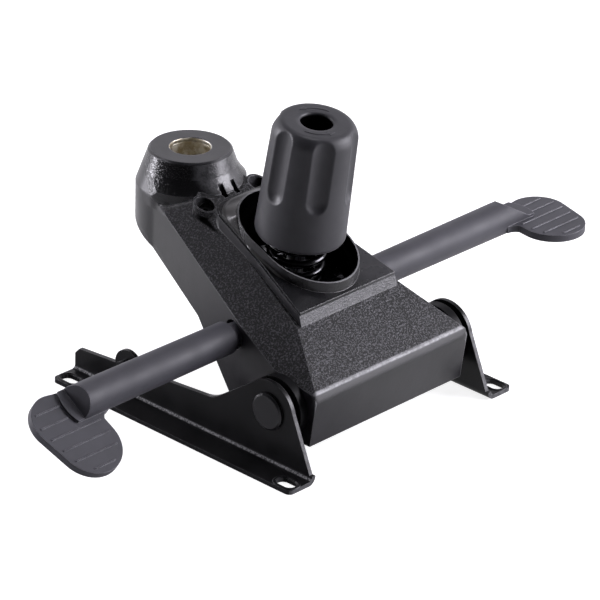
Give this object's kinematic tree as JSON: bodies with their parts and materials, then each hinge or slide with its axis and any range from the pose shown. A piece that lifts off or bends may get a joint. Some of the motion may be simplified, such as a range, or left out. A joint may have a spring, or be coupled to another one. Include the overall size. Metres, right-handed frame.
{
  "type": "office chair tilt mechanism",
  "caption": "Knee-tilt chair mechanism lying upside down: seat brackets, cast casing with gas-lift boss, tension knob over a coil spring, lock and height levers.",
  "frame": {"origin": "centre of the gas-lift socket's mouth, on its axis", "axes": "+Z along the gas-lift socket, out of its mouth: up as pictured, down in use; +Y to the end with the boss, the chair's rear; +X to the side of the height lever; the seat plane lies at z = -0.143"},
  "size_m": [0.495, 0.2365, 0.2047],
  "materials": {
    "bracket_paint": "satin black paint on sheet steel",
    "cast_paint": "black powder coat, pebbled on the sloping faces",
    "cover_paint": "smooth satin black",
    "handle_plastic": "matt charcoal plastic",
    "bush_plastic": "self-lubricating black plastic",
    "steel": "bright steel, lightly oiled",
    "dark_steel": "blackened steel",
    "sleeve_brass": "pale dull brass"
  },
  "bodies": {
    "seat_frame": {"left_bracket": "bracket_paint", "right_bracket": "bracket_paint", "pivot_shaft": "steel", "pivot_caps": "bush_plastic", "rear_studs": "dark_steel", "stud_nuts": "dark_steel", "rocker_arm": "dark_steel", "key_pin": "steel", "spring_seat": "dark_steel"},
    "casing_unit": {"casing": "cast_paint", "cone_sleeve": "sleeve_brass", "pivot_bushes": "bush_plastic", "spring_cover": "cover_paint", "roof_screws": "dark_steel", "anchor_bar": "dark_steel", "tension_bolt": "steel", "lever_bushes": "bush_plastic", "stop_rod": "steel", "finger_pin": "steel", "tension_spring": "steel"},
    "spring_thrust": {"thrust_cup": "dark_steel"},
    "knob": {"tension_knob": "handle_plastic", "knob_nut": "steel"},
    "lock_lever": {"lock_handle": "handle_plastic", "lock_spindle": "steel", "lock_cam": "dark_steel"},
    "height_lever": {"height_handle": "handle_plastic", "height_spindle": "steel", "height_crank": "dark_steel"},
    "finger": {"valve_finger": "dark_steel"}
  },
  "joints": [
    {"name": "tilt", "type": "hinge", "parent": "seat_frame", "child": "casing_unit", "pos_m": [0, -0.16, -0.1045], "axis": [-1, 0, 0], "range_deg": [0, 15], "stiffness_Nm_per_rad": 90, "springref_deg": -14.32, "deforming": ["tension_spring"]},
    {"name": "lock_turn", "type": "hinge", "parent": "casing_unit", "child": "lock_lever", "pos_m": [0, -0.104, -0.078], "axis": [1, 0, 0], "range_deg": [-32, 0]},
    {"name": "height_turn", "type": "hinge", "parent": "casing_unit", "child": "height_lever", "pos_m": [0, -0.104, -0.078], "axis": [1, 0, 0], "range_deg": [0, 15], "stiffness_Nm_per_rad": 2, "springref_deg": -11.46},
    {"name": "finger_turn", "type": "hinge", "parent": "casing_unit", "child": "finger", "pos_m": [0.033, -0.045, -0.0655], "axis": [1, 0, 0], "range_deg": [0, 5.04]},
    {"name": "knob_advance", "type": "slide", "parent": "casing_unit", "child": "spring_thrust", "axis": [0, -0.1461, 0.9893], "range_m": [0, 0.007]},
    {"name": "knob_turn", "type": "hinge", "parent": "spring_thrust", "child": "knob", "pos_m": [0, -0.1022, -0.0244], "axis": [0, -0.1461, 0.9893], "range_deg": [0, 1440]}
  ],
  "couplings": [
    {"joint": "knob_advance", "follows": "knob_turn", "m_per_rad": 0.00027852},
    {"joint": "finger_turn", "follows": "height_turn", "ratio": 0.336}
  ]
}
